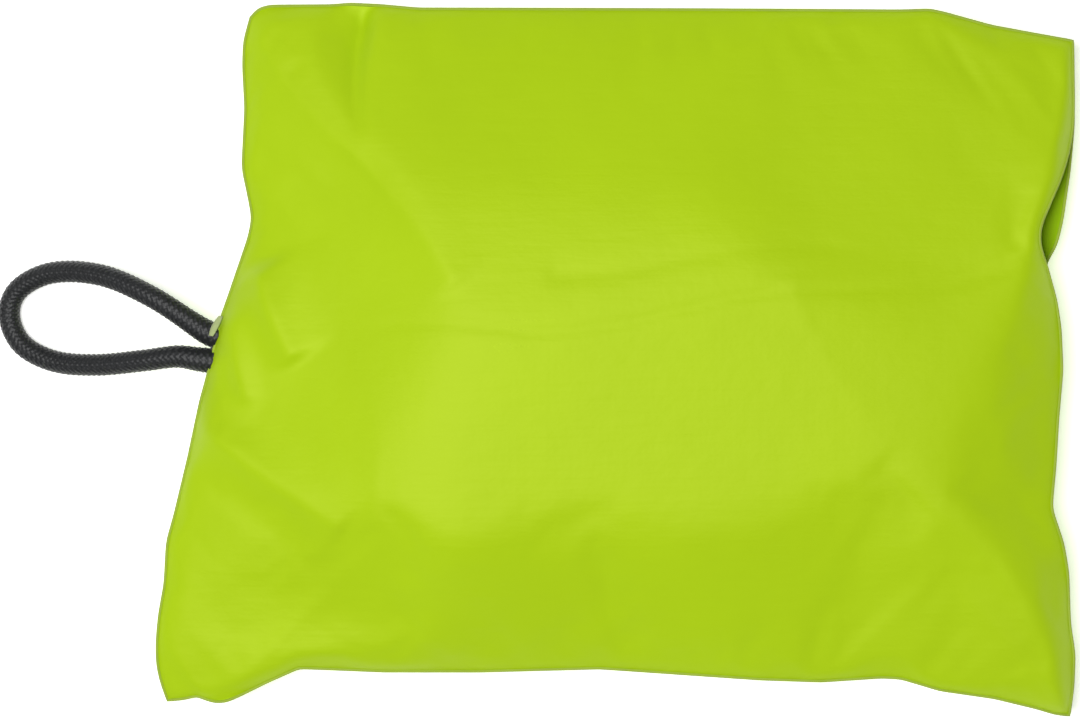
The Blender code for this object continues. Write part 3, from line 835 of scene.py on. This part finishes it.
def build_loop(material):
    upper = LOOP_PIVOT + LOOP_ALONG * LOOP_ROOT_SPACING / 2
    lower = LOOP_PIVOT - LOOP_ALONG * LOOP_ROOT_SPACING / 2
    knots = [upper + LOOP_INWARD * CORD_BURY - LOOP_ALONG * ROOT_SPLAY, upper + LOOP_ALONG * ROOT_SPLAY]
    knots += [np.array((LOOP_PIVOT[0] + x, LOOP_PIVOT[1] + y, z)) for x, y, z in LOOP_ROUTE]
    knots += [lower, lower + LOOP_INWARD * CORD_BURY]
    path = smooth_route(knots, CORD_RING_STEP)
    cord = tube(
        "cord_loop", path, CORD_DIAMETER / 2, CORD_SIDES, material,
        profile=lambda ring, angles: braid(ring, angles, CORD_RING_STEP, len(path)),
    )
    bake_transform(cord)
    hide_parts("hang_loop")


def build_tab_lip(material):
    """The folded edge of the tab that holds the cord, curled out over the upper root."""
    upper = LOOP_PIVOT + LOOP_ALONG * LOOP_ROOT_SPACING / 2
    rows = []
    for share in np.linspace(0, 1, TAB_LIP_ROWS):
        middle = upper + np.array(TAB_LIP_TIP) * (1 - share) + np.array(TAB_LIP_TOP) * share
        bulge = math.sin(math.pi * (TAB_LIP_END + (1 - 2 * TAB_LIP_END) * share))
        width = TAB_LIP_WIDTH * math.sqrt(bulge)
        row = []
        for turn in np.linspace(*TAB_LIP_CURL, TAB_LIP_COLUMNS):
            outward = LOOP_INWARD * -math.sin(turn) * width
            upward = np.array((0, 0, math.cos(turn) * width * TAB_LIP_FLATNESS))
            row.append(middle + outward + upward)
        rows.append(row)
    strip = np.array(rows)
    item = add_mesh("tab_lip", strip, grid_faces(*strip.shape[:2]), material)
    thickness = item.modifiers.new("cloth", "SOLIDIFY")
    thickness.thickness = TAB_LIP_THICKNESS
    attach(item, "pillow")
    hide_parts("loop_tab")


# --- Inner bag and filling -------------------------------------------------------------

def build_inner(front_grid, back_grid, cloth):
    """The inner bag lies inside the cover, clear of the zip, with the filling inside it."""
    shrink = (ZIP_X - INNER_FROM_ZIP) / float(front_grid[..., 0].max())
    centre = np.array((0.0, 0.0, SEAM_Z))
    top, bottom = (
        (grid[::INNER_GRID_STEP, ::INNER_GRID_STEP] - centre) * (shrink, shrink, INNER_HEIGHT) + centre
        for grid in (front_grid, back_grid)
    )
    for name, grid, node, flip in (("inner_front", top, "inner_bag_front", False),
                                   ("inner_back", bottom, "inner_bag_back", True)):
        item = add_mesh(name, grid, grid_faces(*grid.shape[:2], flip=flip), cloth)
        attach(item, "pillow")
        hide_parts(node)
    points = (np.concatenate((top, bottom)) - centre) * STUFFING_SCALE + centre
    item = add_mesh("stuffing", points, closed_faces(*top.shape[:2]), cloth)
    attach(item, "pillow")
    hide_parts("fill_block")


# --- Zip hardware ----------------------------------------------------------------------

def build_tapes(front_grid, back_grid, material):
    """Each tape stands in the mouth and goes up, or down, as far as its panel leaves room."""
    for name, node, grid, side in (("tape_front", "zip_tape_front", front_grid, 1),
                                   ("tape_back", "zip_tape_back", back_grid, -1)):
        low, high = (np.array(corner, float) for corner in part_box(node))
        inner, most = sorted((abs(low[2] - SEAM_Z), abs(high[2] - SEAM_Z)))
        spots = grid[np.abs(grid[..., 0] - ZIP_X) < TAPE_SEARCH]
        rows = []
        for y in np.linspace(low[1], high[1], TAPE_ROWS):
            gaps = np.hypot(spots[:, 0] - ZIP_X + TAPE_SEARCH_INWARD, spots[:, 1] - y)
            panel = spots[np.argsort(gaps)[:4], 2].mean()
            room = abs(panel - SEAM_Z) - TAPE_UNDER_PANEL
            reach = max(inner + TAPE_LEAST, min(most, room))
            z = SEAM_Z + side * np.linspace(inner, reach, TAPE_COLUMNS)
            rows.append(np.stack((np.full(TAPE_COLUMNS, ZIP_X), np.full(TAPE_COLUMNS, y), z), axis=1))
        inner_side, outer = np.stack(rows), np.stack(rows)
        ribs = TAPE_HALF_THICKNESS + TAPE_RIB_DEPTH * np.sin(outer[..., 2] / TAPE_RIB_LENGTH)
        outer[..., 0] += ribs
        inner_side[..., 0] -= ribs
        # Columns run up the front tape and down the back one, so their faces turn opposite ways
        near_side, far_side = (inner_side, outer) if side > 0 else (outer, inner_side)
        points = np.concatenate((near_side, far_side))
        item = add_mesh(name, points, closed_faces(*outer.shape[:2]), material, smooth=False)
        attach(item, "pillow")
        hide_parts(node)


def dress_zip(tape):
    """Gives the CAD's own zip pieces and label their looks."""
    coil = clouded("zip_coil", (0.28, 0.43, 0.016), 0.38, clouds=(120.0, 0.05))
    metal = clouded("zip_metal", (0.03, 0.031, 0.033), 0.36, clouds=(300.0, 0.15), Metallic=0.7)
    looks = {
        "zip_tape_front": tape, "zip_tape_back": tape, "zip_coil_front": coil, "zip_coil_back": coil,
        "zip_top_stop": metal, "zip_bottom_stop": metal, "zip_slider": metal, "zip_puller": metal,
        "care_label": label_satin(),
    }
    for node, look in looks.items():
        for slot in frame["nodes"][node].material_slots:
            slot.material = look


# --- Floor, light and camera -----------------------------------------------------------

def build_stage():
    floor_look, shader = new_material("floor", (0.93, 0.93, 0.93), 0.9)
    shader.inputs["Emission Color"].default_value = (1, 1, 1, 1)
    shader.inputs["Emission Strength"].default_value = FLOOR_GLOW
    size = FLOOR_HALF_SIZE
    corners = [(-size, -size, 0), (size, -size, 0), (size, size, 0), (-size, size, 0)]
    floor = add_mesh("floor", corners, [(0, 1, 2, 3)], floor_look, smooth=False)


def add_key_light():
    """One soft light, nearly overhead."""
    light = bpy.data.lights.new("key", "AREA")
    light.shape = "SQUARE"
    light.size = KEY_SIZE
    light.energy = KEY_POWER
    item = bpy.data.objects.new("key", light)
    item.location = KEY_PLACE
    direction = np.array(KEY_PLACE, float) - np.array(KEY_TARGET, float)
    item.rotation_euler = (
        math.atan2(math.hypot(direction[0], direction[1]), direction[2]),
        0,
        math.atan2(direction[1], direction[0]) + math.pi / 2,
    )
    item.visible_camera = False
    bpy.context.scene.collection.objects.link(item)


def light_and_camera():
    scene = bpy.context.scene
    world = bpy.data.worlds.new("studio")
    world.use_nodes = True
    background = world.node_tree.nodes["Background"]
    background.inputs["Color"].default_value = (1, 1, 1, 1)
    background.inputs["Strength"].default_value = WORLD_GLOW
    scene.world = world
    add_key_light()
    scene.view_settings.view_transform = "Standard"
    camera = bpy.data.cameras.new("camera")
    camera.sensor_width = SENSOR
    camera.lens = SENSOR * CAMERA_DISTANCE / FRAME_WIDTH
    camera.clip_end = CLIP_END
    item = bpy.data.objects.new("camera", camera)
    item.location = (FRAME_SHIFT, 0, SEAM_Z + CAMERA_DISTANCE)
    scene.collection.objects.link(item)
    scene.camera = item


def main():
    light_and_camera()
    build_stage()
    build_loop(braided_cord())
    nylon = coated_nylon()
    hem = hem_nylon()
    front, front_grid = build_front(nylon, hem)
    back, back_grid = build_back(nylon, hem)
    build_mouth_lips(front_grid, back_grid, lip_nylon())
    build_inner(front_grid, back_grid, ticking())
    tape = tape_cloth()
    build_tapes(front_grid, back_grid, tape)
    for item, node in ((front, "front_panel"), (back, "back_panel")):
        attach(item, "pillow")
        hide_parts(node)
    for name in ("front_hem", "back_hem"):
        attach(bpy.data.objects[name], "pillow")
    build_tab_lip(inside_nylon())
    dress_zip(tape)


main()
